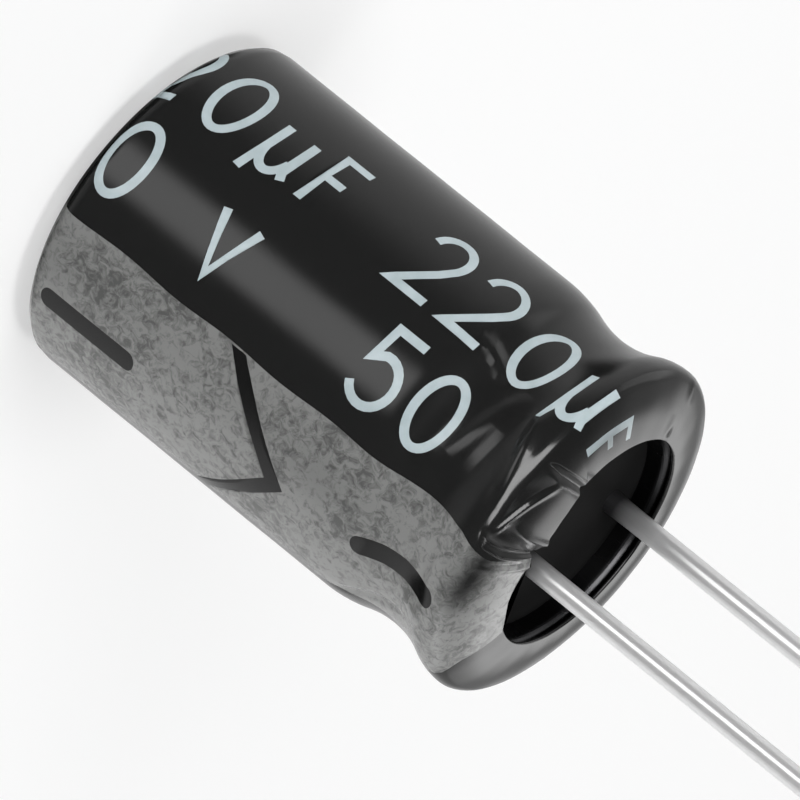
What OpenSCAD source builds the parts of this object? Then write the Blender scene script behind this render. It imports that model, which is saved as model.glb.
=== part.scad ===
// Radial aluminium electrolytic capacitor, standing on its closed head with the leads up.
// The printed shrink sleeve, the beaded and curled can, the rubber bung, the two terminals
// with their welded leads, and the wound element of two foils and two papers.
// Millimetres. Origin under the middle of the head, +Z towards the leads.

/* [Can] */
// Outside diameter of the bare can
can_d = 8; // [7.6:0.1:9]
// Height of the bare can from the head to the top of the curl
can_h = 12.75; // [12:0.05:16]
// Wall of the drawn can
can_wall = 0.22; // [0.18:0.01:0.24]
// Radius where the wall turns into the head
head_edge_r = 0.35; // [0.3:0.01:0.4]
// Width of the crowned band between the wall and the flat of the head
head_crown_w = 1.25; // [1.1:0.05:1.5]
// Height of that band
head_crown_h = 0.66; // [0.6:0.01:0.8]

/* [Head vent] */
// Length of each of the two crossed score lines
vent_len = 4; // [3:0.1:4.4]
// Width of a score line at the surface
vent_w = 0.22; // [0.15:0.01:0.3]
// Depth of a score line
vent_depth = 0.1; // [0.05:0.01:0.14]

/* [Bead and curl] */
// How deep the rolled bead pulls the wall in
bead_depth = 0.285; // [0.2:0.005:0.35]
// Radius of the shoulder that leads into the bead
shoulder_r = 2.9; // [2.4:0.1:3.2]
// Radius at the root of the bead
bead_root_r = 2.6; // [2.3:0.1:2.8]
// Radius where the wall flares out above the bead
flare_r = 1; // [0.8:0.05:1.2]
// How far the curled rim stands out past the wall
rim_step = 0.095; // [0.05:0.005:0.15]
// Radius of the outer edge of the curl
rim_edge_r = 0.25; // [0.25:0.01:0.32]
// Width of the crowned top of the curl, up to the ring where it is highest
rim_crown_w = 1.6; // [1.4:0.05:1.7]
// Height of that crown above the widest ring
rim_crown_h = 0.57; // [0.5:0.01:0.66]
// Radius of the edge that turns down into the bung
lip_r = 0.3; // [0.26:0.01:0.34]
// How far that edge presses into the bung
lip_bite = 0.15; // [0.08:0.01:0.25]

/* [Sleeve] */
// Thickness of the shrink sleeve
sleeve_t = 0.1; // [0.08:0.01:0.14]
// How far the sleeve laps onto the flat of the head
head_lap = 0.2; // [0.1:0.05:0.5]
// Diameter of the sleeve's opening over the bung
mouth_d = 5.2; // [5:0.05:5.25]
// Width of the printed negative stripe, round the sleeve
stripe_w = 4.36; // [3.5:0.1:5]
// Direction of the middle of the stripe, from +X towards +Y
stripe_turn = 13.2; // [-45:0.1:45]
// Depth of the printed stripe in the sleeve's face
stripe_ink = 0.02; // [0.01:0.005:0.03]

/* [Bung] */
// Height of the bung at its middle
bung_h = 3.3; // [3:0.05:3.6]
// Depth of the bung's face below the top of the sleeve
bung_recess = 0.75; // [0.65:0.05:0.9]
// Length of the narrow part of each hole, round the lead's root
lead_bore_len = 0.7; // [0.5:0.05:1]

/* [Leads and terminals] */
// Distance between the leads
lead_pitch = 3.5; // [3.3:0.05:3.6]
// Diameter of the tinned lead
lead_d = 0.5; // [0.4:0.05:0.6]
// Diameter of the lead where it is welded to its terminal
weld_d = 0.56; // [0.52:0.01:0.7]
// Length of the positive lead above the rim
positive_len = 20; // [8:0.5:30]
// Length of the negative lead above the rim
negative_len = 16; // [6:0.5:26]
// Diameter of the round part of a terminal
boss_d = 1.1; // [0.9:0.05:1.2]
// Length of the taper between the round part and the flat tab
boss_taper = 0.45; // [0.3:0.05:0.6]
// Width of the flat tab
tab_w = 1.5; // [1.2:0.05:1.7]
// Thickness of the flat tab
tab_t = 0.2; // [0.12:0.01:0.22]
// Distance from the end of the tab to the far edge of the foil
tab_end_gap = 1; // [0.5:0.1:2]

/* [Wound element] */
// Thickness of the etched anode foil
anode_t = 0.1; // [0.08:0.005:0.12]
// Thickness of the cathode foil
cathode_t = 0.05; // [0.04:0.005:0.07]
// Thickness of each separator paper
paper_t = 0.05; // [0.04:0.005:0.06]
// Thickness of the closing tape
tape_t = 0.05; // [0.03:0.01:0.08]
// Radius of the hole that the winding pin leaves
core_r = 0.5; // [0.4:0.05:0.7]
// Gap between the element and the bung
element_top_gap = 0.88; // [0.7:0.02:1.2]
// How far the papers stand past each edge of the foils
paper_margin = 0.4; // [0.2:0.05:0.5]
// How far the closing tape stays from each edge of the papers
tape_margin = 1.2; // [0.6:0.1:2]
// Gap between the element and the inside of the head
element_gap = 0.3; // [0.3:0.05:0.5]
// Least gap between the element and the can's wall
element_clear = 0.12; // [0.1:0.01:0.3]
// Play over each tab
tab_play = 0.02; // [0.01:0.005:0.04]

/* [Hidden] */

$fn = 96;
arc_step = 9;
over = 1;

can_r = can_d / 2;
can_z = sleeve_t;
can_top = can_z + can_h;
top_z = can_top + sleeve_t;
rim_r = can_r + rim_step;
mouth_r = mouth_d / 2;

// A crown w wide and h high is an edge arc of radius e that runs on into a flatter one.
// These give the flatter one's radius, and the angle at which the two meet.
function crown_r(w, h, e) = ((w - e) * (w - e) + h * h - e * e) / (2 * (h - e));
function crown_turn(w, h, e) = atan2(crown_r(w, h, e) - h, w - e);

head_crown_r = crown_r(head_crown_w, head_crown_h, head_edge_r);
head_turn = crown_turn(head_crown_w, head_crown_h, head_edge_r);
rim_crown_r = crown_r(rim_crown_w, rim_crown_h, rim_edge_r);
rim_turn = crown_turn(rim_crown_w, rim_crown_h, rim_edge_r);

// The bead hangs from the rim: widest ring, flare, root and shoulder, worked out downwards
bead_r = can_r - bead_depth;
shoulder_turn = acos(1 - bead_depth / (shoulder_r + bead_root_r));
flare_turn = acos(1 - (rim_r - bead_r) / (bead_root_r + flare_r));
crest_z = can_top - rim_crown_h;
bead_z = crest_z - (bead_root_r + flare_r) * sin(flare_turn);
shoulder_z = bead_z - (shoulder_r + bead_root_r) * sin(shoulder_turn);

// Centres of the can's arcs, as [radius, height]
head_crown_c = [can_r - head_crown_w, can_z + head_crown_r];
head_edge_c = [can_r - head_edge_r, can_z + head_crown_h];
shoulder_c = [can_r - shoulder_r, shoulder_z];
bead_c = [bead_r + bead_root_r, bead_z];
flare_c = [rim_r - flare_r, crest_z];
rim_edge_c = [rim_r - rim_edge_r, crest_z];
rim_crown_c = [rim_r - rim_crown_w, can_top - rim_crown_r];

// The lip starts where the crown, seen from its centre, is over the lip's own arc
lip_inset = mouth_r + can_wall / 4;
lip_turn = acos((lip_inset + lip_r - rim_crown_c[0]) / (rim_crown_r - lip_r));
lip_c = rim_crown_c + (rim_crown_r - lip_r) * [cos(lip_turn), sin(lip_turn)];
mouth_turn = acos((mouth_r - rim_crown_c[0]) / (rim_crown_r + sleeve_t));

bung_top = top_z - bung_recess;
bung_z = bung_top - bung_h;
lip_z = bung_top - lip_bite;
bore_step_z = bung_top - lead_bore_len;

lead_x = lead_pitch / 2;
polarity_side = -1;

// One turn holds paper, anode, paper, cathode, from the inside out
layer_at = [0, paper_t, paper_t + anode_t, 2 * paper_t + anode_t];
layer_t = [paper_t, anode_t, paper_t, cathode_t];
pitch = 2 * paper_t + anode_t + cathode_t;
tab_room = tab_t + tab_play;

inner_paper = 0;
anode = 1;
outer_paper = 2;
cathode = 3;

// The strips cross the X axis twice a turn, on +X at even crossings and on -X at odd ones
element_room = can_r - can_wall - element_clear - core_r - tab_room - paper_t - 2 * tape_t;
turns = floor(element_room / pitch) - 1;
last_crossing = 2 * turns;
anode_tab_crossing = 2 * round((lead_x - tab_t / 2 - core_r - layer_at[outer_paper]) / pitch - 0.5) + 1;
cathode_tab_crossing = 2 * round((lead_x - tab_t / 2 - core_r - pitch) / pitch);

element_z = can_z + can_wall + element_gap;
element_top_z = bung_z - element_top_gap;
paper_w = element_top_z - element_z;
foil_z = element_z + paper_margin;
foil_w = paper_w - 2 * paper_margin;
tape_z = element_z + tape_margin;
tape_w = paper_w - 2 * tape_margin;
tab_z = foil_z + tab_end_gap;
boss_z = (element_top_z + bung_z + boss_taper) / 2;

function even(n) = n % 2 == 0;

// Points along an arc, from angle a to angle b
function arc_points(c, r, a, b) =
    let (steps = max(2, ceil(abs(b - a) / arc_step)))
    [for (i = [0 : steps]) let (t = a + (b - a) * i / steps) c + r * [cos(t), sin(t)]];

// The can's section moved outwards by d, from the flat of the head to the lip.
// First the head's crown and the wall.
function wall_points(d) = concat(
    arc_points(head_crown_c, head_crown_r + d, -90, -head_turn),
    arc_points(head_edge_c, head_edge_r + d, -head_turn, 0)
);

// The bead and the flare, up to the widest ring
function bead_points(d) = concat(
    arc_points(shoulder_c, shoulder_r + d, 0, shoulder_turn),
    arc_points(bead_c, bead_root_r - d, 180 + shoulder_turn, 180 - flare_turn),
    arc_points(flare_c, flare_r + d, -flare_turn, 0)
);

// The curl's edge and its crown, as far as the lip
function curl_points(d) = concat(
    arc_points(rim_edge_c, rim_edge_r + d, 0, rim_turn),
    arc_points(rim_crown_c, rim_crown_r + d, rim_turn, lip_turn)
);

function section_points(d) = concat(wall_points(d), bead_points(d), curl_points(d));

// The turned-down lip, for the outer or the inner face of the sheet
function lip_points(d) = concat(
    arc_points(lip_c, lip_r + d, lip_turn, 180),
    [[lip_c[0] - lip_r - d, lip_z]]
);

function backwards(list) = [for (i = [len(list) - 1 : -1 : 0]) list[i]];

function tidy(list) =
    [for (i = [0 : len(list) - 1]) if (i == 0 || norm(list[i] - list[i - 1]) > 0.001) list[i]];

module revolved(points) rotate_extrude() polygon(tidy(points));

// The sleeve follows the can past the lip, as far as its own mouth
function sleeve_points(d) =
    concat(section_points(d), arc_points(rim_crown_c, rim_crown_r + d, lip_turn, mouth_turn));

// Section of a skin on the can, between the distances inner and outer from its face
function skin(inner, outer) = tidy(concat(sleeve_points(outer), backwards(sleeve_points(inner))));

// The part of such a skin that the printed stripe covers
module stripe_band(inner, outer) {
    half = stripe_w / (can_d + 2 * sleeve_t) * 180 / PI;
    rotate([0, 0, stripe_turn - half])
        rotate_extrude(angle = 2 * half)
            polygon(skin(inner, outer));
}

module sleeve() {
    color("#26282a") difference() {
        union() {
            revolved(skin(0, sleeve_t));
            difference() {
                cylinder(r = head_crown_c[0], h = sleeve_t);
                translate([0, 0, -over]) cylinder(r = head_crown_c[0] - head_lap, h = sleeve_t + 2 * over);
            }
        }
        stripe_band(sleeve_t - stripe_ink, sleeve_t + over);
    }
}

module negative_stripe() {
    color("#8f9290") stripe_band(sleeve_t - stripe_ink, sleeve_t);
}

// One score line across the head, a V cut from below
module vent_score() {
    translate([-vent_len / 2, 0, can_z])
        rotate([90, 0, 90])
            linear_extrude(vent_len)
                polygon([[-vent_w / 2, 0], [vent_w / 2, 0], [0, vent_depth]]);
}

module can() {
    color("#c9ccd0") difference() {
        revolved(concat(
            [[0, can_z]],
            section_points(0),
            lip_points(0),
            backwards(lip_points(-can_wall)),
            backwards(section_points(-can_wall)),
            [[0, can_z + can_wall]]
        ));
        for (turn = [45, 135]) rotate([0, 0, turn]) vent_score();
    }
}

// The rubber fills the can from its lower face to the curl and takes the lip's print
module bung() {
    inside = concat(bead_points(-can_wall), curl_points(-can_wall), lip_points(-can_wall));
    face = [[lip_c[0] - lip_r, lip_z], [lip_c[0] - lip_r, bung_top], [0, bung_top]];
    color("#17181a") difference() {
        intersection() {
            revolved(concat([[0, shoulder_z]], inside, face));
            translate([0, 0, bung_z]) cylinder(r = rim_r, h = can_h);
        }
        for (side = [-1, 1]) translate([side * lead_x, 0, 0]) {
            translate([0, 0, bung_z - over]) cylinder(d = boss_d, h = bore_step_z - bung_z + over);
            lead_root();
        }
    }
}

// Below the rim the lead thickens slightly, down to its weld
module lead_root() {
    translate([0, 0, bore_step_z]) cylinder(d1 = weld_d, d2 = lead_d, h = top_z - bore_step_z);
}

module lead(length) {
    color("#d6d8da") {
        lead_root();
        translate([0, 0, top_z]) cylinder(d = lead_d, h = length);
    }
}

module lead_positive() {
    translate([polarity_side * lead_x, 0, 0]) lead(positive_len);
}

module lead_negative() {
    translate([-polarity_side * lead_x, 0, 0]) lead(negative_len);
}

// Room that the tabs take up at a crossing, for the layers that lie outside them
function tab_lift(layer, crossing) =
    even(crossing) ? (crossing > cathode_tab_crossing ? tab_room : 0)
    : crossing > anode_tab_crossing || (crossing == anode_tab_crossing && layer > anode) ? tab_room
    : 0;

// Distance from the axis to the inner face of a layer where it crosses the X axis
function crossing_r(layer, crossing) =
    core_r + layer_at[layer] + pitch * crossing / 2 + tab_lift(layer, crossing);

// Half a turn of a strip of thickness t, between the inner distances at its two crossings
module half_turn(from_r, to_r, t, w, crossing) {
    rotate([0, 0, even(crossing) ? 0 : 180])
        translate([(from_r - to_r) / 2, 0, 0])
            rotate_extrude(angle = 180)
                translate([(from_r + to_r) / 2, 0]) square([t, w]);
}

module wound_strip(layer, first, last, w) {
    for (crossing = [first : last - 1])
        half_turn(
            crossing_r(layer, crossing), crossing_r(layer, crossing + 1),
            layer_t[layer], w, crossing
        );
}

module anode_foil() {
    color("#8d9196") translate([0, 0, foil_z]) wound_strip(anode, 2, last_crossing - 1, foil_w);
}

module cathode_foil() {
    color("#b4b7bb") translate([0, 0, foil_z]) wound_strip(cathode, 1, last_crossing, foil_w);
}

// The inner paper runs one turn further than the foils and covers the outermost one
module separator_inner() {
    color("#d9cda8") translate([0, 0, element_z]) wound_strip(inner_paper, 0, last_crossing + 2, paper_w);
}

module separator_outer() {
    color("#e0d5b4") translate([0, 0, element_z]) wound_strip(outer_paper, 0, last_crossing, paper_w);
}

// The tape goes round one and a half times: over the paper's end, round, and onto itself
module element_tape() {
    start_r = crossing_r(inner_paper, last_crossing + 1) + paper_t;
    far_r = crossing_r(inner_paper, last_crossing + 2) + paper_t;
    color("#d8a24a") translate([0, 0, tape_z]) {
        half_turn(start_r, far_r, 2 * tape_t, tape_w, last_crossing + 1);
        half_turn(far_r, start_r + tape_t, tape_t, tape_w, last_crossing + 2);
    }
}

// Flat tab laid on the outer face of its foil, round bar through the bung, taper between them
module terminal(layer, crossing, side) {
    face_r = crossing_r(layer, crossing) + layer_t[layer];
    before_r = crossing_r(layer, crossing - 1) + layer_t[layer];
    after_r = crossing_r(layer, crossing + 1) + layer_t[layer];
    color("#b9bdc2") {
        intersection() {
            translate([0, 0, tab_z]) {
                half_turn(before_r, face_r, tab_t, boss_z - tab_z, crossing - 1);
                half_turn(face_r, after_r, tab_t, boss_z - tab_z, crossing);
            }
            translate([side * lead_x - boss_d, -tab_w / 2, 0]) cube([2 * boss_d, tab_w, boss_z]);
        }
        translate([side * lead_x, 0, boss_z]) cylinder(d = boss_d, h = bore_step_z - boss_z);
        translate([side * lead_x, 0, boss_z - boss_taper])
            cylinder(d1 = tab_t, d2 = boss_d, h = boss_taper);
    }
}

module terminal_positive() {
    terminal(anode, anode_tab_crossing, polarity_side);
}

module terminal_negative() {
    terminal(cathode, cathode_tab_crossing, -polarity_side);
}

sleeve();
negative_stripe();
can();
bung();
terminal_positive();
terminal_negative();
lead_positive();
lead_negative();
anode_foil();
cathode_foil();
separator_inner();
separator_outer();
element_tape();
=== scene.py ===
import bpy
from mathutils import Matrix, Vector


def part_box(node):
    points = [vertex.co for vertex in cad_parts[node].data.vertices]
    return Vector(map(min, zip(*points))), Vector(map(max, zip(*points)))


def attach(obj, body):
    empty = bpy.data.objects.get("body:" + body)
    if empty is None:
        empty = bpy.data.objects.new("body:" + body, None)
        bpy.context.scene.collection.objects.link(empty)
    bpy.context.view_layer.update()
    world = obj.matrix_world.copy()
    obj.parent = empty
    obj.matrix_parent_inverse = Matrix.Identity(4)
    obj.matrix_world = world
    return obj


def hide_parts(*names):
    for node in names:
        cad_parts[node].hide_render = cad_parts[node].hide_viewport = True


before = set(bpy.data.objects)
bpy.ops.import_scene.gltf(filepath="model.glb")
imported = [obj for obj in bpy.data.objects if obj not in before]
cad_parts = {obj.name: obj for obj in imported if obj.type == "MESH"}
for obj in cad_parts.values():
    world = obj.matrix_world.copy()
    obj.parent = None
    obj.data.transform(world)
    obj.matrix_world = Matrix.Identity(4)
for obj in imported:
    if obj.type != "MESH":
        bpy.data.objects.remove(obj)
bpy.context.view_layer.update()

# Radial electrolytic capacitor: printed shrink sleeve on a beaded can, rubber bung, tinned leads.
# The tables are in millimetres and degrees, unless they say otherwise.
import math

import bpy
import numpy as np
from mathutils import Matrix, Vector, geometry

mm = 0.001
print("frame loaded:", len(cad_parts), "nodes")


# helpers
def addThing(name, data):
    thing = bpy.data.objects.new(name, data)
    bpy.context.scene.collection.objects.link(thing)
    return thing


def dress(thing, material):
    thing.data.materials.clear()
    thing.data.materials.append(material)


def startMaterial(name):
    material = bpy.data.materials.new(name)
    material.use_nodes = True
    tree = material.node_tree
    shader = next(n for n in tree.nodes if n.type == "BSDF_PRINCIPLED")
    return material, tree, shader


def setSockets(shader, **values):
    for key, value in values.items():
        shader.inputs[key].default_value = value


def feed(tree, source, socket):              # another node's output is linked, a value is set
    if isinstance(source, bpy.types.NodeSocket):
        tree.links.new(source, socket)
    else:
        socket.default_value = source


def addNode(tree, kind, x=0, y=0, **settings):
    node = tree.nodes.new(kind)
    node.location = (x, y)
    for key, value in settings.items():
        setattr(node, key, value)
    return node


def addMath(tree, x, y, operation, *values, **settings):
    node = addNode(tree, "ShaderNodeMath", x, y, operation=operation, **settings)
    for k, value in enumerate(values):
        feed(tree, value, node.inputs[k])
    return node.outputs[0]


def addRange(tree, x, y, value, low, high, start=0.0, end=1.0, **settings):
    node = addNode(tree, "ShaderNodeMapRange", x, y, **settings)
    feed(tree, value, node.inputs["Value"])
    for key, limit in (("From Min", low), ("From Max", high), ("To Min", start), ("To Max", end)):
        node.inputs[key].default_value = limit
    return node.outputs["Result"]


def addMix(tree, x, y, factor, first, second):
    node = addNode(tree, "ShaderNodeMix", x, y, data_type="RGBA")
    for key, source in (("Factor", factor), ("A", first), ("B", second)):
        feed(tree, source, node.inputs[key])
    return node.outputs["Result"]


def addNoise(tree, x, y, place, scale, detail, rough=0.5, twist=0.0):
    node = addNode(tree, "ShaderNodeTexNoise", x, y)
    sources = {"Vector": place, "Scale": scale, "Detail": detail, "Roughness": rough, "Distortion": twist}
    for key, source in sources.items():
        feed(tree, source, node.inputs[key])
    return node.outputs["Fac"]


def addHeight(tree, x, y):                   # height above the head, in metres
    place = addNode(tree, "ShaderNodeTexCoord", x, y)
    parts = addNode(tree, "ShaderNodeSeparateXYZ", x + 200, y)
    feed(tree, place.outputs["Object"], parts.inputs[0])
    return parts.outputs["Z"]


def addBump(tree, shader, height, strength, depth):
    bump = addNode(tree, "ShaderNodeBump", -300, -350)
    for key, source in (("Height", height), ("Strength", strength), ("Distance", depth * mm)):
        feed(tree, source, bump.inputs[key])
    feed(tree, bump.outputs["Normal"], shader.inputs["Normal"])


# fine grain and slow drift, used by every finish
def makeGrain():
    group = bpy.data.node_groups.new("surfaceGrain", "ShaderNodeTree")
    face = group.interface
    face.new_socket("Fine scale", in_out="INPUT", socket_type="NodeSocketFloat")
    face.new_socket("Drift scale", in_out="INPUT", socket_type="NodeSocketFloat")
    face.new_socket("Stretch", in_out="INPUT", socket_type="NodeSocketVector")
    face.new_socket("Height", in_out="OUTPUT", socket_type="NodeSocketFloat")
    face.new_socket("Drift", in_out="OUTPUT", socket_type="NodeSocketFloat")
    entry = addNode(group, "NodeGroupInput", -700, 0)
    leave = addNode(group, "NodeGroupOutput", 300, 0)
    place = addNode(group, "ShaderNodeTexCoord", -700, 300)
    stretch = addNode(group, "ShaderNodeVectorMath", -450, 200, operation="MULTIPLY")
    feed(group, place.outputs["Object"], stretch.inputs[0])
    feed(group, entry.outputs["Stretch"], stretch.inputs[1])
    fine = addNoise(group, -200, 200, stretch.outputs[0], entry.outputs["Fine scale"], 3)
    drift = addNoise(group, -200, -100, stretch.outputs[0], entry.outputs["Drift scale"], 2)
    feed(group, fine, leave.inputs["Height"])
    feed(group, drift, leave.inputs["Drift"])
    return group


surfaceGrain = makeGrain()


def placeGrain(tree, x, y, fineScale, driftScale, stretch=(1, 1, 1)):
    node = addNode(tree, "ShaderNodeGroup", x, y, node_tree=surfaceGrain)
    for key, value in (("Fine scale", fineScale), ("Drift scale", driftScale), ("Stretch", stretch)):
        node.inputs[key].default_value = value
    return node.outputs["Height"], node.outputs["Drift"]


# camera
cameraView = {
    "azimuth": 53.2,          # round the can
    "elevation": 21.5,        # above square to the can
    "roll": 38.95,            # the can's axis runs down to the right in the picture
    "distance": 0.414,        # metres
    "aimUp": 7.0677 * mm,     # picture centre, from the origin
    "aimRight": 0.0952 * mm,
    "lens": 875,
    "sensor": 36,
    "nearest": 0.01,          # metres
    "farthest": 20,
}


def viewAxes():
    a, e = math.radians(cameraView["azimuth"]), math.radians(cameraView["elevation"])
    back = Vector((math.sin(a) * math.cos(e), -math.cos(a) * math.cos(e), math.sin(e)))
    right = Vector((math.cos(a), math.sin(a), 0))
    return back, right, back.cross(right)


def makeCamera():
    view = cameraView
    back, right, up = viewAxes()
    q = math.radians(view["roll"])
    pictureX = up * math.cos(q) - right * math.sin(q)
    pictureY = -up * math.sin(q) - right * math.cos(q)
    place = up * view["aimUp"] + right * view["aimRight"] + back * view["distance"]
    lens = bpy.data.cameras.new("photoCamera")
    lens.lens = view["lens"]
    lens.sensor_width = view["sensor"]
    lens.clip_start = view["nearest"]
    lens.clip_end = view["farthest"]
    camera = addThing("photoCamera", lens)
    camera.matrix_world = Matrix((
        (pictureX.x, pictureY.x, back.x, place.x),
        (pictureX.y, pictureY.y, back.y, place.y),
        (pictureX.z, pictureY.z, back.z, place.z),
        (0, 0, 0, 1),
    ))
    bpy.context.scene.camera = camera


makeCamera()
print("camera placed")


# the sleeve's form
sleeveForm = {                # the can's own section, and the film that is shrunk on it
    "canR": 4.0, "canZ": 0.1, "canTop": 12.85,
    "headCrownW": 1.25, "headCrownH": 0.66, "headEdgeR": 0.35, "headLap": 0.2,
    "beadDepth": 0.285, "shoulderR": 2.9, "beadRootR": 2.6, "flareR": 1.0,
    "rimR": 4.095, "rimEdgeR": 0.25, "rimCrownW": 1.6, "rimCrownH": 0.57, "rimCrownTurn": 105,
    "film": 0.1, "mouthR": 2.6,
    "edgeFrom": 13.0,         # from here along the film reaches for its uneven edge
}


def crownRadius(w, h, e):                    # a crown w wide and h high that runs into an edge of radius e
    return ((w - e) ** 2 + h * h - e * e) / (2 * (h - e))


def crownTurn(w, h, e):
    return math.degrees(math.atan2(crownRadius(w, h, e) - h, w - e))


def sleeveSection():
    s, t = sleeveForm, sleeveForm["film"]
    headR = crownRadius(s["headCrownW"], s["headCrownH"], s["headEdgeR"])
    headTurn = crownTurn(s["headCrownW"], s["headCrownH"], s["headEdgeR"])
    rimR = crownRadius(s["rimCrownW"], s["rimCrownH"], s["rimEdgeR"])
    rimTurn = crownTurn(s["rimCrownW"], s["rimCrownH"], s["rimEdgeR"])
    beadR = s["canR"] - s["beadDepth"]
    shoulderTurn = math.degrees(math.acos(1 - s["beadDepth"] / (s["shoulderR"] + s["beadRootR"])))
    flareTurn = math.degrees(math.acos(1 - (s["rimR"] - beadR) / (s["beadRootR"] + s["flareR"])))
    crestZ = s["canTop"] - s["rimCrownH"]
    beadZ = crestZ - (s["beadRootR"] + s["flareR"]) * math.sin(math.radians(flareTurn))
    shoulderZ = beadZ - (s["shoulderR"] + s["beadRootR"]) * math.sin(math.radians(shoulderTurn))
    crown = (s["rimR"] - s["rimCrownW"], s["canTop"] - rimR)
    arcs = [
        ((s["canR"] - s["headCrownW"], s["canZ"] + headR), headR + t, -90, -headTurn),
        ((s["canR"] - s["headEdgeR"], s["canZ"] + s["headCrownH"]), s["headEdgeR"] + t, -headTurn, 0),
        ((s["canR"] - s["shoulderR"], shoulderZ), s["shoulderR"] + t, 0, shoulderTurn),
        ((beadR + s["beadRootR"], beadZ), s["beadRootR"] - t, 180 + shoulderTurn, 180 - flareTurn),
        ((s["rimR"] - s["flareR"], crestZ), s["flareR"] + t, -flareTurn, 0),
        ((s["rimR"] - s["rimEdgeR"], crestZ), s["rimEdgeR"] + t, 0, rimTurn),
        (crown, rimR + t, rimTurn, s["rimCrownTurn"]),
    ]
    points = [(s["canR"] - s["headCrownW"] - s["headLap"], 0.0)]
    for centre, radius, start, end in arcs:
        steps = max(2, int(abs(end - start)))
        for i in range(steps + 1):
            q = math.radians(start + (end - start) * i / steps)
            p = (centre[0] + radius * math.cos(q), centre[1] + radius * math.sin(q))
            if math.dist(p, points[-1]) > 1e-5:
                points.append(p)
    points = np.array(points)
    along = np.r_[0, np.cumsum(np.hypot(*np.diff(points, axis=0).T))]
    wallStart = int(np.argmax(points[:, 0] > s["canR"] + t - 1e-6))
    along += points[wallStart, 1] - along[wallStart]
    return points, along


sectionPoints, sectionAlong = sleeveSection()
wallRadius = sleeveForm["canR"] + sleeveForm["film"]
degreeRun = wallRadius * math.pi / 180       # mm round the wall for one degree
headEnd = float(sectionAlong[0])
fromMouth = np.abs(sectionPoints[:, 0] - sleeveForm["mouthR"])
fromMouth[sectionPoints[:, 1] < sleeveForm["canTop"]] = np.inf       # the mouth is on the rim's crown
mouthEnd = float(sectionAlong[np.argmin(fromMouth)])
photoMeridian = math.radians(cameraView["azimuth"] - 90)             # the side that faces the camera

# mouth edge of the film: angle from the photo's meridian, radius there, and how far it stands up
mouthEdge = [
    (-180, 2.46, 0), (-150, 2.50, 0), (-125, 2.62, 0), (-104, 2.72, 0), (-84, 2.74, 0),
    (-60, 2.68, 0), (-38, 2.60, 0), (-24, 2.48, 0), (-17, 2.34, 0.05), (-6, 2.22, 0.08),
    (6, 2.12, 0.08), (15, 2.10, 0.08), (20, 2.30, 0), (25, 2.22, 0.04), (32, 2.26, 0.04),
    (46, 2.42, 0.02), (60, 2.52, 0), (76, 2.57, 0), (100, 2.58, 0), (125, 2.56, 0),
    (150, 2.50, 0), (180, 2.46, 0),
]

# creases of the film: points (along, turn, width, height), mm and degrees; a height above 0 stands out
creases = [
    # ridge beside the rim's edge, bright on its upper side
    [(11.90, -27, 0.14, 0.00), (12.02, -18, 0.17, 0.14), (12.17, -10, 0.17, 0.12), (12.30, -3, 0.17, 0.07),
     (12.42, 4, 0.16, 0.02), (12.50, 9, 0.10, 0.00)],
    # thin ridge that comes back up the crown
    [(12.80, 15, 0.09, 0.02), (12.86, 13, 0.09, 0.06), (12.99, 8, 0.07, 0.07), (13.13, 2, 0.07, 0.08),
     (13.33, -5, 0.07, 0.06), (13.52, -11, 0.07, 0.00)],
    # fold that runs on into the mouth
    [(12.90, -12, 0.08, -0.01), (13.40, -14, 0.10, -0.06), (13.80, -17, 0.10, -0.09),
     (14.25, -21, 0.10, -0.09)],
    # pinch beside the stripe, between two lips
    [(12.50, 15, 0.08, 0.00), (12.85, 18.5, 0.13, -0.08), (13.40, 20.5, 0.15, -0.10),
     (14.20, 22, 0.13, -0.09)],
    [(13.15, 11, 0.14, 0.00), (13.60, 13, 0.18, 0.03), (14.20, 14, 0.16, 0.05)],
    [(12.60, 27, 0.12, 0.01), (13.20, 28, 0.14, 0.05), (14.20, 29, 0.14, 0.06)],
    # lens above the bead's root
    [(10.62, 18, 0.22, 0.00), (10.70, 12, 0.32, 0.09), (10.80, 5, 0.36, 0.125), (10.92, -3, 0.36, 0.13),
     (11.04, -11, 0.34, 0.125), (11.12, -18, 0.30, 0.09), (11.20, -26, 0.20, 0.00)],
    # light patch below the row of figures
    [(9.50, -31.5, 0.17, 0.00), (9.80, -29.5, 0.21, 0.11), (10.15, -27.5, 0.22, 0.14),
     (10.45, -25.5, 0.19, 0.08), (10.70, -24, 0.16, 0.00)],
    # small puckers on the far edge
    [(12.40, -86, 0.12, 0.00), (12.75, -88, 0.12, 0.03), (13.20, -90, 0.12, 0.00)],
    [(13.50, -80, 0.10, 0.00), (14.20, -84, 0.10, 0.03)],
    [(10.50, 112, 0.15, 0.00), (11.40, 117, 0.18, 0.04), (12.30, 120, 0.12, 0.00)],
    [(10.40, -128, 0.15, 0.00), (11.30, -133, 0.20, 0.05), (12.40, -137, 0.12, 0.00)],
    # shallow folds of the neck on the stripe's side
    [(9.40, 62, 0.30, 0.00), (10.40, 58, 0.35, 0.05), (11.60, 56, 0.30, 0.03), (12.40, 54, 0.20, 0.00)],
    [(10.30, 32, 0.25, 0.00), (11.20, 34, 0.30, -0.03), (12.20, 37, 0.20, 0.00)],
    [(9.20, 81, 0.12, 0.00), (9.70, 78, 0.14, -0.05), (10.40, 73, 0.15, -0.07), (11.00, 68.5, 0.13, -0.05),
     (11.40, 66, 0.10, 0.00)],
]

filmWaves = {                 # slow unevenness of the film, in mm; it lies less evenly on the neck
    "wall": 0.003, "neck": 0.002, "ripple": 0.003,
    "neckFrom": 9, "neckOver": 3,
}


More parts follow.
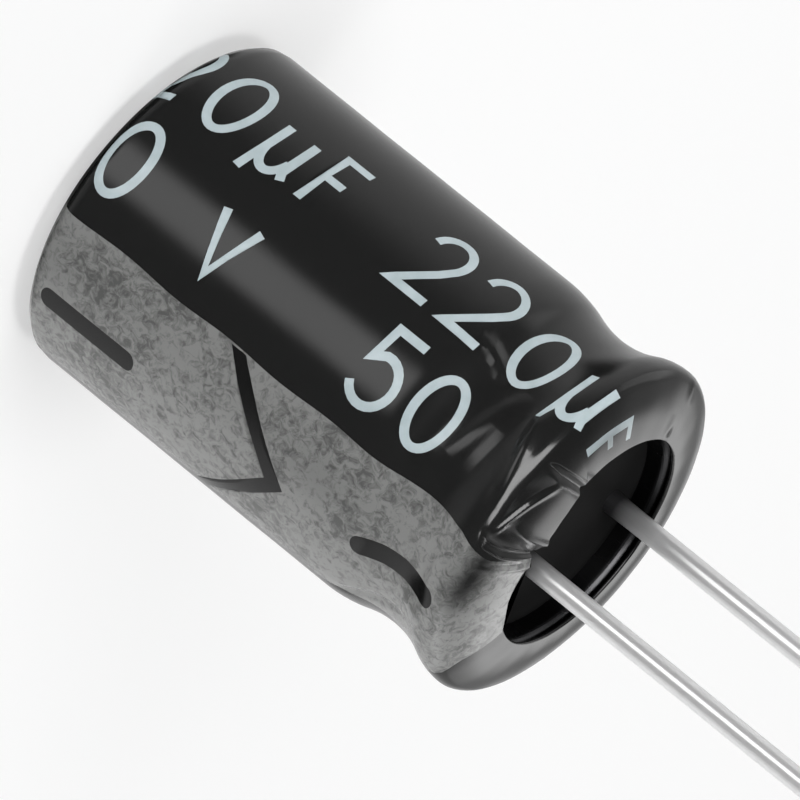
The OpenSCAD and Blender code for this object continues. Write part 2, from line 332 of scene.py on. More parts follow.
def creaseHeight(along, turn):               # how far the film stands off the even section
    height = np.zeros_like(along)
    x, y = along, turn * degreeRun
    for crease in creases:
        best = np.full(along.shape, np.inf)
        value = np.zeros_like(along)
        for (u0, p0, w0, h0), (u1, p1, w1, h1) in zip(crease, crease[1:]):
            ax, ay = u0, p0 * degreeRun
            bx, by = u1 - ax, p1 * degreeRun - ay
            f = np.clip(((x - ax) * bx + (y - ay) * by) / (bx * bx + by * by), 0, 1)
            far = np.hypot(x - ax - f * bx, y - ay - f * by) / (w0 + (w1 - w0) * f)
            near = far < best
            best = np.where(near, far, best)
            value = np.where(near, h0 + (h1 - h0) * f, value)
        height += value * np.exp(-best ** 2)
    around = np.radians(turn)                # slow waves and a ripple, out of step with one another
    neck = np.clip((along - filmWaves["neckFrom"]) / filmWaves["neckOver"], 0, 1)
    depth = filmWaves["wall"] + filmWaves["neck"] * neck
    height += depth * np.sin(2.3 * along + 3 * around + 1) * np.sin(5 * around - 0.9 * along)
    depth = filmWaves["ripple"] * neck
    height += depth * np.sin(4.1 * along - 9 * around) * np.sin(3.1 * along + 14 * around)
    return height


def sectionAt(along):
    return [np.interp(along, sectionAlong, sectionPoints[:, k]) for k in (0, 1)]


def filmPlace(along, turn, inset=0.0):       # points of the film in metres, inset mm below its outer face
    along, turn = np.asarray(along, float), np.asarray(turn, float)
    wrapped = (turn + 180) % 360 - 180
    edgeTurn, edgeRadius, edgeLift = np.array(mouthEdge).T
    edgeFrom = sleeveForm["edgeFrom"]
    share = np.clip((along - edgeFrom) / (mouthEnd - edgeFrom), 0, 1.2)
    reach = sleeveForm["mouthR"] - np.interp(wrapped, edgeTurn, edgeRadius)
    moved = along + share ** 1.5 * reach
    step = 0.01
    held = np.clip(moved, headEnd + step, float(sectionAlong[-1]) - step)
    lowR, lowZ = sectionAt(held - step)
    highR, highZ = sectionAt(held + step)
    size = np.hypot(highR - lowR, highZ - lowZ)
    dr, dz = (highR - lowR) / size, (highZ - lowZ) / size
    beyond = np.where(np.abs(moved - held) > 1e-9, moved - held, 0)      # runs on straight past the ends
    out = creaseHeight(along, wrapped) - inset
    r, z = sectionAt(held)
    r = r + dr * beyond + dz * out
    z = z + dz * beyond - dr * out + np.interp(wrapped, edgeTurn, edgeLift) * share ** 3
    q = np.radians(turn) + photoMeridian
    return np.stack([r * np.cos(q), r * np.sin(q), z], -1) * mm


def filmNormal(along, turn):
    step = 0.02
    turnStep = step / wallRadius * 180 / math.pi
    a = filmPlace(along + step, turn) - filmPlace(along - step, turn)
    b = filmPlace(along, turn + turnStep) - filmPlace(along, turn - turnStep)
    n = np.cross(b, a)
    return n / np.linalg.norm(n, axis=-1, keepdims=True)


# print on the sleeve
printLayout = {               # along the can in mm, round it in degrees from the photo's meridian
    "stripe": (19.6, 80.5),
    "stripeEnds": (0.3, 0.02),         # bare film left at the lap and at the mouth
    "edgeWave": 0.03,
    "neck": (11.1, 0.9, 0.02),         # middle, reach, and how far the stripe's low edge goes out there
    "rim": (12.2, 0.9, 5),             # start, reach, and how far the stripe narrows on each side
    "barWidth": 0.52,
    "bars": [[(0.98, 48.9), (3.26, 48.9)], [(9.94, 50.1), (10.55, 47.6), (11.2, 46.1), (12.05, 45.9)]],
    "chevron": {"foot": 5.36, "footOuter": 5.78, "tip": 7.33, "tipOuter": 7.86, "turn": 50.5,
                "skew": 0.08, "inset": 0.02},
    "stroke": 0.21,
}


def bow(x, y, wide, high, start, end, steps=18):
    turns = [math.radians(start + (end - start) * i / steps) for i in range(steps + 1)]
    return [(x + wide * math.cos(q), y + high * math.sin(q)) for q in turns]


figures = {                   # strokes in a box one wide and one high; "loop" closes one
    "0": [bow(0.5, 0.5, 0.5, 0.5, 0, 351, 39) + ["loop"]],
    "2": [bow(0.48, 0.71, 0.47, 0.29, 170, -28) + [(0.7, 0.4), (0.02, 0), (1, 0)]],
    "5": [[(0.94, 1), (0.17, 1), (0.1, 0.56)] + bow(0.47, 0.33, 0.52, 0.33, 100, -152)],
    "V": [[(0, 1), (0.5, 0), (1, 1)]],
    "F": [[(0, 0), (0, 1), (1, 1)], [(0, 0.52), (0.8, 0.52)]],
    "u": [[(0, 0.72), (0, 0.3), (-0.12, -0.16)], bow(0.4, 0.32, 0.4, 0.31, 190, 350),
          [(0.84, 0.72), (0.84, 0.12), (0.96, 0.02)]],
}

writing = [                   # figure, from and to along the can, turn of its top and its foot
    ("2", 0.0, 0.72, -54, -27), ("0", 1.3, 2.26, -54, -27.5), ("u", 2.95, 3.82, -53.5, -27),
    ("F", 4.32, 5.0, -50.5, -27),
    ("2", 7.1, 8.1, -53.5, -26), ("2", 8.62, 9.62, -53.5, -26), ("0", 10.26, 11.2, -54, -26.5),
    ("u", 11.92, 12.72, -52, -25), ("F", 13.38, 13.86, -49.5, -26),
    ("0", 0.52, 1.46, -16, 8.5), ("V", 3.44, 4.42, -11, 9),
    ("5", 8.0, 9.0, -15, 10), ("0", 9.5, 10.42, -14.5, 10.5),
]

shadeAndFadeSpots = [                 # darker ink patches, where the black film shows through: along, turn, reach along, reach round, strength
    # the first three are painted shade, in the pocket where the neck's folds meet the rim
    (13.05, 23, 0.32, 7, 0.60), (12.92, 31, 0.42, 8, 0.70), (12.80, 40, 0.42, 8, 0.65),
    # this one fades the figures on the rim's crown
    (13.6, -38, 0.45, 14, 0.6),
    # the last three darken the stripe in a broad band round 37 degrees
    (0.5, 37, 2.4, 12, 0.20), (4.5, 38, 3.0, 12, 0.10), (8.6, 38, 1.8, 12, 0.24),
]


def ribbon(points, width):                   # outlines of a stroke with mitred corners
    loop = points[-1] == "loop"
    p = np.array(points[:-1] if loop else points, float)
    before, after = np.roll(p, 1, axis=0), np.roll(p, -1, axis=0)
    if not loop:
        before[0], after[-1] = 2 * p[0] - p[1], 2 * p[-1] - p[-2]
    d0, d1 = p - before, after - p
    d0 /= np.linalg.norm(d0, axis=1, keepdims=True)
    d1 /= np.linalg.norm(d1, axis=1, keepdims=True)
    n0, n1 = np.stack([-d0[:, 1], d0[:, 0]], 1), np.stack([-d1[:, 1], d1[:, 0]], 1)
    mitre = n0 + n1
    mitre /= np.maximum(np.sum(mitre * n0, axis=1, keepdims=True), 0.35)
    left, right = p + mitre * width / 2, p - mitre * width / 2
    return [left, right] if loop else [np.vstack([left, right[::-1]])]


def roundBar(points, width):                 # outline of a smooth bar with round ends
    p = np.array(points)
    run = np.linspace(0, len(p) - 1, 40)
    smooth = np.stack([np.interp(run, np.arange(len(p)), p[:, k]) for k in (0, 1)], 1)
    for _ in range(3 if len(p) > 2 else 0):
        smooth[1:-1] = (smooth[:-2] + smooth[1:-1] + smooth[2:]) / 3
    side = ribbon([tuple(q) for q in smooth], width)[0]
    caps = []
    for end, ahead in ((smooth[-1], smooth[-1] - smooth[-2]), (smooth[0], smooth[0] - smooth[1])):
        ahead = ahead / np.linalg.norm(ahead)
        left = np.array([-ahead[1], ahead[0]])
        turns = [math.pi / 2 - math.pi * i / 10 for i in range(1, 10)]
        caps.append([end + width / 2 * (0.8 * math.cos(q) * ahead + math.sin(q) * left) for q in turns])
    half = len(side) // 2
    return np.vstack([side[:half], caps[0], side[half:], caps[1]])


def printOutlines():
    lay, layers = printLayout, {"stripe": [], "mark": [], "figure": []}
    low, high = (q * degreeRun for q in lay["stripe"])
    steps = np.linspace(headEnd + lay["stripeEnds"][0], mouthEnd - lay["stripeEnds"][1], 90)
    neckAt, neckReach, neckOut = lay["neck"]
    rimAt, rimReach, rimIn = lay["rim"]
    neck = np.exp(-((steps - neckAt) / neckReach) ** 2)
    rim = np.clip((steps - rimAt) / rimReach, 0, 1)
    lowEdge = low + lay["edgeWave"] * np.sin(steps * 2.1) - neck * neckOut + rim * rimIn * degreeRun
    highEdge = high + lay["edgeWave"] * np.sin(steps * 1.7 + 1) - rim * rimIn * degreeRun
    sides = np.stack([steps, lowEdge], 1), np.stack([steps, highEdge], 1)[::-1]
    layers["stripe"].append([np.vstack(sides)])
    for bar in lay["bars"]:
        layers["mark"].append([roundBar([(u, q * degreeRun) for u, q in bar], lay["barWidth"])])
    c, tip = lay["chevron"], lay["chevron"]["turn"] * degreeRun
    low, high = low + c["inset"], high - c["inset"]
    layers["mark"].append([np.array([
        (c["footOuter"], low), (c["tipOuter"], tip), (c["footOuter"] - c["skew"], high),
        (c["foot"], high), (c["tip"], tip), (c["foot"], low)])])
    for name, start, end, top, foot in writing:
        top, foot = top * degreeRun, foot * degreeRun
        for stroke in figures[name]:
            loop = stroke[-1:] if stroke[-1] == "loop" else []
            body = stroke[:-1] if loop else stroke
            points = [(start + x * (end - start), foot - y * (foot - top)) for x, y in body]
            layers["figure"].append(ribbon(points + loop, lay["stroke"]))
    return layers


def inside(points, outlines):                # which points an odd number of outlines holds
    odd = np.zeros(len(points), bool)
    for line in outlines:
        low, high = line.min(0), line.max(0)
        near = np.all((points >= low) & (points <= high), axis=1)
        q = points[near]
        hit = np.zeros(len(q), bool)
        for a, b in zip(line, np.roll(line, -1, axis=0)):
            crosses = (a[1] > q[:, 1]) != (b[1] > q[:, 1])
            with np.errstate(divide="ignore", invalid="ignore"):
                x = a[0] + (q[:, 1] - a[1]) * (b[0] - a[0]) / (b[1] - a[1])
            hit ^= crosses & (q[:, 0] < x)
        odd[near] ^= hit
    return odd


def stops(*runs):
    found = []
    for start, end, step in runs:
        count = max(1, round((end - start) / step))
        found += [start + (end - start) * i / count for i in range(count)]
    return found


# the film's mesh
sleeveMesh = {                # grid lines as (from, to, step), in mm along the film and in degrees round it
    "along": [(headEnd, 0.1, 0.09), (0.1, 8.8, 0.24), (8.8, 11.8, 0.09), (11.8, mouthEnd, 0.036)],
    "round": [(-62, -28, 1.7), (-28, 30, 0.6), (30, 84, 1.8), (84, 298, 3.6)],
    "walk": 0.005,            # an ink edge is followed in steps this long
    "margin": 0.008,          # and a cell that it passes this near is cut too
    "edgeRound": 0.035,       # how far the middle of the two cut edges stands out
    "closing": 5,             # flat faces wider than this close the ring and carry no print
}


def cellsOf(points, rows, cols):
    return (np.clip(np.searchsorted(rows, points[:, 0], side="right") - 1, 0, len(rows) - 2),
            np.clip(np.searchsorted(cols, points[:, 1], side="right") - 1, 0, len(cols) - 1))


def crossedCells(rows, cols, lines):         # grid cells that an ink edge crosses
    crossed = np.zeros((len(rows) - 1, len(cols)), bool)
    margin = sleeveMesh["margin"]
    for line in lines:
        for a, b in zip(line, np.roll(line, -1, axis=0)):
            count = max(2, int(np.linalg.norm(b - a) / sleeveMesh["walk"]) + 2)
            walk = a + (b - a) * np.linspace(0, 1, count)[:, None]
            for dx in (-margin, margin):
                for dy in (-margin, margin):
                    crossed[cellsOf(walk + (dx, dy), rows, cols)] = True
    return crossed


def cutCells(rows, cols, crossed, lines):    # the crossed cells, cut along the ink's edges
    corner, edgeCount = {}, {}
    for i, j in zip(*np.nonzero(crossed)):
        ring = [(i, j), (i, j + 1), (i + 1, j + 1), (i + 1, j)]
        for a, b in zip(ring, ring[1:] + ring[:1]):
            corner.setdefault(a, len(corner))
            edge = (min(a, b), max(a, b))
            edgeCount[edge] = edgeCount.get(edge, 0) + 1
    points = [(float(rows[i]), float(cols[j])) for i, j in corner]
    edges = [(corner[a], corner[b]) for (a, b), n in edgeCount.items() if n == 1]
    for line in lines:
        first = len(points)
        points += [tuple(map(float, p)) for p in line]
        edges += [(first + k, first + (k + 1) % len(line)) for k in range(len(line))]
    cut = geometry.delaunay_2d_cdt([Vector(p) for p in points], edges, [], 0, 1e-6)
    places, triangles, sources = cut[0], cut[2], cut[3]
    gridId = [i * len(cols) + j for i, j in corner]
    extra, newId = [], []
    for p, origins in zip(places, sources):
        shared = [gridId[k] for k in origins if k < len(gridId)]     # the grid's own corners are kept
        if not shared:
            shared = [len(rows) * len(cols) + len(extra)]
            extra.append((p[0], p[1]))
        newId.append(shared[0])
    corners = np.array([(p[0], p[1]) for p in places])
    middles = np.array([corners[list(t)].mean(0) for t in triangles])
    keep = crossed[cellsOf(middles, rows, cols)] & (middles[:, 0] > rows[0]) & (middles[:, 0] < rows[-1])
    return extra, [tuple(newId[v] for v in reversed(t)) for t, ok in zip(triangles, keep) if ok]


def inkOfFaces(flat, faces, layers):
    centre = np.array([flat[list(f)].mean(0) for f in faces])
    ink = np.zeros((len(faces), 3))
    for k, name in enumerate(("stripe", "mark", "figure")):
        for outlines in layers[name]:
            ink[:, k] = np.maximum(ink[:, k], inside(centre, outlines))
    ink[:, 1] *= ink[:, 0]
    ink[:, 2] *= 1 - ink[:, 0]
    closing = [np.ptp(flat[list(f), 1]) > sleeveMesh["closing"] for f in faces]
    ink[closing] = 0
    return ink


def paintSleeve(mesh, flat, faces, ink):
    shadeAndFadeAmount = np.zeros(len(mesh.vertices))
    # painted shade in the rim's fold pocket, and the other darker ink patches, as a point attribute
    for u, q, long, wide, strength in shadeAndFadeSpots:
        shadeAndFadeAmount[:len(flat)] += strength * np.exp(-((flat[:, 0] - u) / long) ** 2
                                              - ((flat[:, 1] / degreeRun - q) / wide) ** 2)
    shadeAndFadeField = mesh.attributes.new("inkShadeAndFade", "FLOAT", "POINT")
    shadeAndFadeField.data.foreach_set("value", np.clip(shadeAndFadeAmount, 0, 1).astype(np.float32))
    perFace = np.zeros((len(faces), 4))
    perFace[:, 3] = 1
    perFace[:len(ink), :3] = ink
    perCorner = np.repeat(perFace, [len(f) for f in faces], axis=0)
    layer = mesh.color_attributes.new("inkLayers", "FLOAT_COLOR", "CORNER")
    layer.data.foreach_set("color", perCorner.astype(np.float32).ravel())


def makeSleeve():
    rows = np.array(stops(*sleeveMesh["along"]) + [mouthEnd])
    turns = np.array(stops(*sleeveMesh["round"]))
    nRow, nTurn = len(rows), len(turns)
    cols = turns * degreeRun
    layers = printOutlines()
    lines = [line for group in layers.values() for outlines in group for line in outlines]
    crossed = crossedCells(rows, cols, lines)

    # outer face: whole cells, and those that the print cuts
    grid = np.stack([axis.ravel() for axis in np.meshgrid(rows, cols, indexing="ij")], 1)
    quads = []
    for i in range(nRow - 1):
        for j in range(nTurn):
            a, b = i * nTurn + j, i * nTurn + (j + 1) % nTurn
            quads.append((a, b, b + nTurn, a + nTurn))
    extra, cutFaces = cutCells(rows, cols, crossed, lines)
    faces = [quad for quad, isCut in zip(quads, crossed.ravel()) if not isCut] + cutFaces
    flat = np.vstack([grid, np.array(extra)])
    ink = inkOfFaces(flat, faces, layers)
    nOuter = len(flat)

    # inner face
    inset = sleeveForm["film"]
    outerTurn, innerTurn = flat[:, 1] / degreeRun, grid[:, 1] / degreeRun
    verts = np.vstack([filmPlace(flat[:, 0], outerTurn), filmPlace(grid[:, 0], innerTurn, inset)])
    vertNormals = np.vstack([filmNormal(flat[:, 0], outerTurn), -filmNormal(grid[:, 0], innerTurn)])
    faces += [tuple(nOuter + quad[k] for k in (0, 3, 2, 1)) for quad in quads]

    # the two cut edges, rounded by one row in between
    for i, way in ((0, -1), (nRow - 1, 1)):
        middle = len(verts)
        edge = filmPlace(np.full(nTurn, rows[i]), turns, inset / 2)
        between = filmPlace(np.full(nTurn, rows[i] + way * sleeveMesh["edgeRound"]), turns, inset / 2)
        out = (between - edge) / np.linalg.norm(between - edge, axis=1, keepdims=True)
        verts = np.vstack([verts, between])
        vertNormals = np.vstack([vertNormals, out])
        for j in range(nTurn):
            k = (j + 1) % nTurn
            a, b = i * nTurn + j, i * nTurn + k
            for quad in ((a, b, middle + k, middle + j), (middle + j, middle + k, nOuter + b, nOuter + a)):
                faces.append(quad[::way])

    mesh = bpy.data.meshes.new("sleeve_film")
    mesh.from_pydata([tuple(v) for v in verts], [], faces)
    mesh.update()
    paintSleeve(mesh, flat, faces, ink)
    mesh.polygons.foreach_set("use_smooth", [True] * len(faces))
    mesh.normals_split_custom_set_from_vertices([tuple(n) for n in vertNormals])
    mesh.validate()
    sleeve = addThing("sleeve_film", mesh)
    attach(sleeve, "root")
    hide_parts("sleeve", "negative_stripe")
    return sleeve


sleeveInk = {
    "film": (0.0120, 0.0122, 0.0120, 1),
    "stripe": (0.218, 0.220, 0.216, 1),
    "stripeDark": (0.098, 0.099, 0.097, 1),
    "mark": (0.007, 0.007, 0.007, 1),
    "figure": (0.57, 0.65, 0.68, 1),
    "figureWorn": (0.38, 0.46, 0.48, 1),
    "mottle": {"scale": 4200, "detail": 3, "rough": 0.72, "twist": 0.9},
    "mottleRange": (0.34, 0.57),       # of the noise, from dark fleck to full ink
    "cloud": {"scale": 620, "detail": 2},
    "cloudRange": (0.3, 0.7),
    "cloudDepth": 0.09,                # cloudy patches hold more dark flecks
    "grain": (2600, 500),              # fine scale, drift scale
    "bump": (0.25, 0.004),             # strength, depth
    "rough": (0.11, 0.19),
    "foot": (0.15, 0.55),              # the head's edge is rubbed dull below these heights
    "footRough": 0.6,
    "IOR": 1.46,
}


def makeSleeveMaterial():
    ink, depth = sleeveInk, sleeveInk["cloudDepth"]
    material, tree, shader = startMaterial("shrinkFilm")
    layers = addNode(tree, "ShaderNodeAttribute", -1100, 200, attribute_name="inkLayers")
    shadeAndFadeField = addNode(tree, "ShaderNodeAttribute", -1100, 500, attribute_name="inkShadeAndFade")
    split = addNode(tree, "ShaderNodeSeparateColor", -900, 200)
    feed(tree, layers.outputs["Color"], split.inputs[0])
    place = addNode(tree, "ShaderNodeTexCoord", -1500, 600).outputs["Object"]
    grain, drift = placeGrain(tree, -1100, -200, *ink["grain"])

    mottle = addNoise(tree, -1100, 700, place, **ink["mottle"])
    cloud = addNoise(tree, -1300, 950, place, **ink["cloud"])
    cloud = addRange(tree, -1100, 950, cloud, *ink["cloudRange"], -depth, depth)
    flecks = addRange(tree, -900, 700, addMath(tree, -950, 800, "ADD", mottle, cloud), *ink["mottleRange"])
    stripe = addMix(tree, -700, 700, flecks, ink["stripeDark"], ink["stripe"])
    figure = addMix(tree, -700, 450, grain, ink["figureWorn"], ink["figure"])
    left = addMath(tree, -900, 500, "SUBTRACT", 1.0, shadeAndFadeField.outputs["Fac"])      # ink that the painted shade and the darker patches leave

    colour = ink["film"]
    for k, (source, share) in enumerate(((stripe, left), (ink["mark"], 1.0), (figure, left))):
        cover = addMath(tree, -550 + 200 * k, 100, "MULTIPLY", split.outputs[k], share)
        colour = addMix(tree, -450 + 200 * k, 300, cover, colour, source)
    feed(tree, colour, shader.inputs["Base Color"])

    low, high = (h * mm for h in ink["foot"])
    rough = addRange(tree, -300, -100, drift, 0, 1, *ink["rough"])
    scuff = addRange(tree, -600, -500, addHeight(tree, -1000, -500), low, high, ink["footRough"], 0)
    feed(tree, addMath(tree, -100, -100, "MAXIMUM", rough, scuff), shader.inputs["Roughness"])
    addBump(tree, shader, grain, *ink["bump"])
    setSockets(shader, IOR=ink["IOR"])
    return material


sleeve = makeSleeve()
dress(sleeve, makeSleeveMaterial())
print("sleeve:", len(sleeve.data.polygons), "faces")


# leads
leadForm = {
    "wireR": 0.25, "seat": 12.95,      # the root tapers down to the wire at this height
    "sides": 64, "rootRows": 6, "wireRows": 34,
    "lineDepth": 0.0015,               # drawing lines along the wire
    "tip": [(0.06, 0.985), (0.02, 0.93), (0, 0.82)],       # below the end, and share of the wire's radius
    "cropFrom": 0.1,                   # the slope of the cropped end starts this far below it
}

leads = {                     # phase of the drawing lines in radians, slope of the cropped end
    "lead_negative": (1.0, 14),
    "lead_positive": (4.0, 11),
}


def makeLead(node):
    low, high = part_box(node)
    form, (phase, slope) = leadForm, leads[node]
    x, y = (low.x + high.x) / 2, (low.y + high.y) / 2
    wire, root = form["wireR"] * mm, (high.x - low.x) / 2
    seat, sides = form["seat"] * mm, form["sides"]
    heights = [low.z] + list(np.linspace(low.z + 0.2 * mm, seat, form["rootRows"]))
    heights += list(np.linspace(seat + 0.4 * mm, high.z - 0.12 * mm, form["wireRows"]))
    radii = [root + (wire - root) * min(1, (h - low.z) / (seat - low.z)) for h in heights]
    for below, share in form["tip"]:
        heights.append(high.z - below * mm)
        radii.append(wire * share)
    verts, faces = [], []
    for h, r in zip(heights, radii):
        for k in range(sides):
            q = 2 * math.pi * k / sides
            lines = math.sin(7 * q + phase) + math.sin(17 * q + 2 * phase + h * 90)
            out = r + form["lineDepth"] * mm * (lines + 0.7 * math.sin(29 * q - phase))
            drop = 0.0
            if h > high.z - form["cropFrom"] * mm:
                drop = math.tan(math.radians(slope)) * (r + r * math.cos(q - phase)) * 0.5
            verts.append((x + out * math.cos(q), y + out * math.sin(q), h - drop))
    for i in range(len(heights) - 1):
        for k in range(sides):
            a, b = i * sides + k, i * sides + (k + 1) % sides
            faces.append((a, b, b + sides, a + sides))
    faces.append(tuple(range(sides))[::-1])
    faces.append(tuple((len(heights) - 1) * sides + k for k in range(sides)))
    name = node.replace("lead_", "wire_")
    mesh = bpy.data.meshes.new(name)
    mesh.from_pydata(verts, [], faces)
    mesh.polygons.foreach_set("use_smooth", [True] * (len(faces) - 2) + [False] * 2)
    wireObject = addThing(name, mesh)
    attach(wireObject, "root")
    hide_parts(node)
    return wireObject


# finishes of the metals: colour, metallic, roughness from and to, stretch of the grain, depth of the bump
metalFinish = {
    "tin": ((0.95, 0.95, 0.955, 1), 0.62, (0.24, 0.36), (1, 1, 0.04), 0.004),
    "drawnAluminium": ((0.80, 0.81, 0.83, 1), 1.0, (0.20, 0.34), (1, 1, 0.12), 0.002),
    "satinAluminium": ((0.72, 0.73, 0.75, 1), 1.0, (0.30, 0.45), (1, 1, 0.3), 0.003),
    "etchedFoil": ((0.42, 0.43, 0.45, 1), 1.0, (0.55, 0.75), (1, 1, 1), 0.003),
    "cathodeFoil": ((0.60, 0.61, 0.62, 1), 1.0, (0.40, 0.55), (1, 1, 0.4), 0.002),
}

metalGrain = {
    "fineScale": 11000, "driftScale": 1800,
    "shade": 0.88,            # the grain's dark side, as a share of the colour
    "bumpStrength": 0.5,
    "recessShadeColour": (0.05, 0.05, 0.052, 1),    # painted shade of the recess, on the can's curled lip and on the leads' roots
}


def makeMetal(name, recessShadeFrom=None, recessShadeTo=None):       # painted shade: the metal's colour darkens from one height to the other
    base, metallic, rough, stretch, depth = metalFinish[name]
    material, tree, shader = startMaterial(name)
    grain, drift = placeGrain(tree, -900, 0, metalGrain["fineScale"], metalGrain["driftScale"], stretch)
    feed(tree, addRange(tree, -500, 0, drift, 0, 1, *rough), shader.inputs["Roughness"])
    shade = tuple(c * metalGrain["shade"] for c in base[:3]) + (1,)
    colour = addMix(tree, -500, 300, grain, shade, base)
    if recessShadeFrom is not None:
        # painted shade of the dark recess, mixed into the colour by height
        edge = addRange(tree, -500, 600, addHeight(tree, -900, 600), recessShadeFrom * mm, recessShadeTo * mm)
        colour = addMix(tree, -250, 300, edge, colour, metalGrain["recessShadeColour"])
    feed(tree, colour, shader.inputs["Base Color"])
    addBump(tree, shader, grain, metalGrain["bumpStrength"], depth)
    setSockets(shader, Metallic=metallic)
    return material


# finishes of the soft pieces: colour, second colour, roughness, gloss, grain scale, depth of the bump
softFinish = {
    "rubber": ((0.008, 0.008, 0.008, 1), (0.013, 0.013, 0.013, 1), 0.7, 0.03, 2600, 0.012),
    "paper": ((0.70, 0.60, 0.40, 1), (0.56, 0.46, 0.28, 1), 0.85, 0.3, 5200, 0.01),
    "tape": ((0.70, 0.40, 0.11, 1), (0.62, 0.33, 0.08, 1), 0.25, 0.5, 900, 0.003),
}

softGrain = {"driftShare": 6, "bumpStrength": 0.4}     # the drift is this many times wider than the grain


def makeSoft(name):
    first, second, roughness, gloss, scale, depth = softFinish[name]
    material, tree, shader = startMaterial(name)
    grain, drift = placeGrain(tree, -900, 0, scale, scale / softGrain["driftShare"])
    feed(tree, addMix(tree, -500, 300, drift, first, second), shader.inputs["Base Color"])
    addBump(tree, shader, grain, softGrain["bumpStrength"], depth)
    setSockets(shader, **{"Roughness": roughness, "Specular IOR Level": gloss})
    return material


# the leads' roots get painted shade below 12.45 mm, fading out by 13.6 mm
tin = makeMetal("tin", recessShadeFrom=13.6, recessShadeTo=12.45)
for node in leads:
    dress(makeLead(node), tin)
print("leads made")

satin = makeMetal("satinAluminium")
paper = makeSoft("paper")
for node, material in {
    # the can's curled lip gets painted shade above 11.6 mm
    "can": makeMetal("drawnAluminium", recessShadeFrom=11.3, recessShadeTo=11.6),
    "bung": makeSoft("rubber"),
    "terminal_positive": satin,
    "terminal_negative": satin,
    "anode_foil": makeMetal("etchedFoil"),
    "cathode_foil": makeMetal("cathodeFoil"),
    "separator_inner": paper,
    "separator_outer": paper,
    "element_tape": makeSoft("tape"),
}.items():
    dress(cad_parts[node], material)
print("inner pieces dressed")


# floor
floorLook = {
    "colour": (0.93, 0.93, 0.93, 1),
    "rough": 0.9,
    "size": 2.0,              # metres
    "whiteShare": 0.5,        # how far the floor that the camera sees goes to plain white
}


def makeFloor():
    half = floorLook["size"] / 2
    mesh = bpy.data.meshes.new("floor")
    corners = [(-half, -half, 0), (half, -half, 0), (half, half, 0), (-half, half, 0)]
    mesh.from_pydata(corners, [], [(0, 1, 2, 3)])
    floor = addThing("floor", mesh)
    material, tree, shader = startMaterial("paleFloor")
    setSockets(shader, **{"Base Color": floorLook["colour"], "Roughness": floorLook["rough"],
                          "Specular IOR Level": 0.0})
    path = addNode(tree, "ShaderNodeLightPath", -900, -300)
    seen = path.outputs["Is Camera Ray"]
    for kind in ("Is Glossy Ray", "Is Transmission Ray"):
        seen = addMath(tree, -600, -300, "ADD", seen, path.outputs[kind], use_clamp=True)
    white = addNode(tree, "ShaderNodeEmission", -300, -500)
    mix = addNode(tree, "ShaderNodeMixShader", 100, 0)
    feed(tree, addMath(tree, -300, -300, "MULTIPLY", seen, floorLook["whiteShare"]), mix.inputs[0])
    feed(tree, shader.outputs[0], mix.inputs[1])
    feed(tree, white.outputs[0], mix.inputs[2])
    ending = next(n for n in tree.nodes if n.type == "OUTPUT_MATERIAL")
    feed(tree, mix.outputs[0], ending.inputs["Surface"])
    mesh.materials.append(material)
    floor.visible_glossy = False       # the glossy film mirrors the dim room, as in the photograph


# the room that the film and the leads mirror; turns are from the photo's meridian
room = {
    "lowerFront": 0.08, "lowerSides": 0.62, "lowerTurn": (55, 95),
    "upperFront": 0.08, "upperBack": 0.4, "upperTurn": (60, 120),
    "nadir": 0.33, "nadirHeight": (-62, -42),
    "zenith": 0.05, "zenithHeight": (40, 60),
    "horizon": (-10, 4),
}

# brighter and darker fields in it: middle, half width and soft edge of the turn, then from, to and soft
# edge of the height, then how much is added
softPatches = {
    "lowFrontPanel": ((-3, 8, 11), (-42, -15, 7), 2.1),
    "leftPanel": ((-112, 18, 12), (2, 26, 6), 0.6),
    "rightPanel": ((112, 18, 12), (2, 26, 6), 0.6),
    "backPanel": ((180, 9, 14), (20, 34, 13), 1.6),
    "backFloorShade": ((180, 62, 20), (-76, -42, 9), -0.6),
}


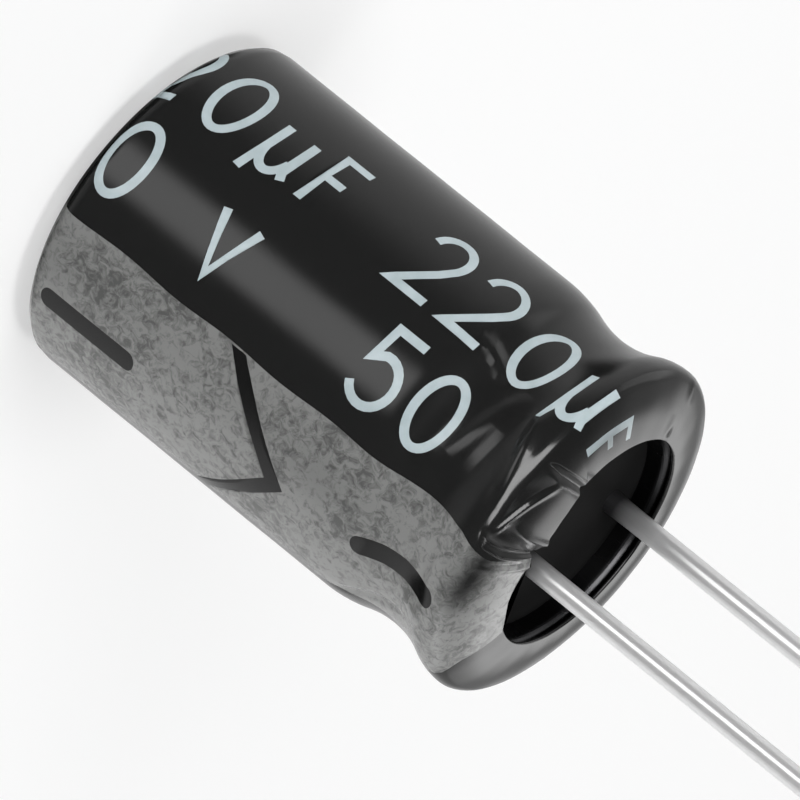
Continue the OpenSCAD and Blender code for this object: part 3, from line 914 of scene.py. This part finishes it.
def makeRoom():
    world = bpy.data.worlds.new("studio")
    world.use_nodes = True
    tree = world.node_tree
    back = next(n for n in tree.nodes if n.type == "BACKGROUND")
    place = addNode(tree, "ShaderNodeTexCoord", -2000, 0)
    turn = addNode(tree, "ShaderNodeVectorRotate", -1800, 0, rotation_type="Z_AXIS")
    axes = addNode(tree, "ShaderNodeSeparateXYZ", -1600, 0)
    feed(tree, -photoMeridian, turn.inputs["Angle"])
    feed(tree, place.outputs["Generated"], turn.inputs["Vector"])
    feed(tree, turn.outputs[0], axes.inputs[0])

    def maths(operation, *values):
        return addMath(tree, 0, 0, operation, *values)

    def ramp(value, low, high, start, end):
        return addRange(tree, 0, 0, value, low, high, start, end, interpolation_type="SMOOTHSTEP")

    def blend(share, first, second):
        kept = maths("MULTIPLY", first, maths("SUBTRACT", 1.0, share))
        return maths("ADD", kept, maths("MULTIPLY", second, share))

    azimuth = maths("MULTIPLY", maths("ARCTAN2", axes.outputs["Y"], axes.outputs["X"]), 180 / math.pi)
    height = maths("MULTIPLY", maths("ARCSINE", axes.outputs["Z"]), 180 / math.pi)
    aside = maths("ABSOLUTE", azimuth)
    lower = ramp(aside, *room["lowerTurn"], room["lowerFront"], room["lowerSides"])
    lower = blend(ramp(height, *room["nadirHeight"], 1, 0), lower, room["nadir"])
    upper = ramp(aside, *room["upperTurn"], room["upperFront"], room["upperBack"])
    upper = blend(ramp(height, *room["zenithHeight"], 0, 1), upper, room["zenith"])
    level = blend(ramp(height, *room["horizon"], 0, 1), lower, upper)
    for (middle, halfTurn, turnEdge), (low, high, heightEdge), strength in softPatches.values():
        away = maths("ABSOLUTE", maths("WRAP", maths("SUBTRACT", azimuth, middle), 180.0, -180.0))
        patch = ramp(away, halfTurn, halfTurn + turnEdge, strength, 0)
        patch = maths("MULTIPLY", patch, ramp(height, low - heightEdge, low, 0, 1))
        patch = maths("MULTIPLY", patch, ramp(height, high, high + heightEdge, 1, 0))
        level = maths("MAXIMUM", maths("ADD", level, patch), 0.0)
    feed(tree, level, back.inputs["Strength"])
    feed(tree, (1, 1, 1, 1), back.inputs["Color"])
    bpy.context.scene.world = world


# lamps: turn, height, distance and size in metres, power, and whether only gloss or only matt shows them
lampAim = 8 * mm              # the height on the can that they point at
lamps = {
    "overheadLamp": (0, 80, 0.6, (0.30,), 2.05, "matt"),
    "stripeLamp": (100, 8, 0.5, (0.2,), 1.8, "matt"),
    "fillLamp": (-22, 20, 0.5, (0.3,), 1.2, "matt"),
    "frontLamp": (-5, 40, 0.5, (0.46, 0.30), 3.6, "gloss"),
}


def makeLamps():
    for name, (turn, height, distance, size, power, shows) in lamps.items():
        lamp = bpy.data.lights.new(name, "AREA")
        lamp.shape = "DISK" if len(size) == 1 else "RECTANGLE"
        lamp.size = size[0]
        lamp.size_y = size[-1]
        lamp.energy = power
        thing = addThing(name, lamp)
        a, e = math.radians(turn) + photoMeridian, math.radians(height)
        out = Vector((math.cos(a) * math.cos(e), math.sin(a) * math.cos(e), math.sin(e)))
        thing.location = out * distance + Vector((0, 0, lampAim))
        thing.rotation_euler = out.to_track_quat("Z", "Y").to_euler()
        thing.visible_glossy = shows == "gloss"
        thing.visible_diffuse = shows == "matt"


makeFloor()
makeRoom()
makeLamps()
bpy.context.scene.view_settings.view_transform = "Standard"
print("floor and light made")
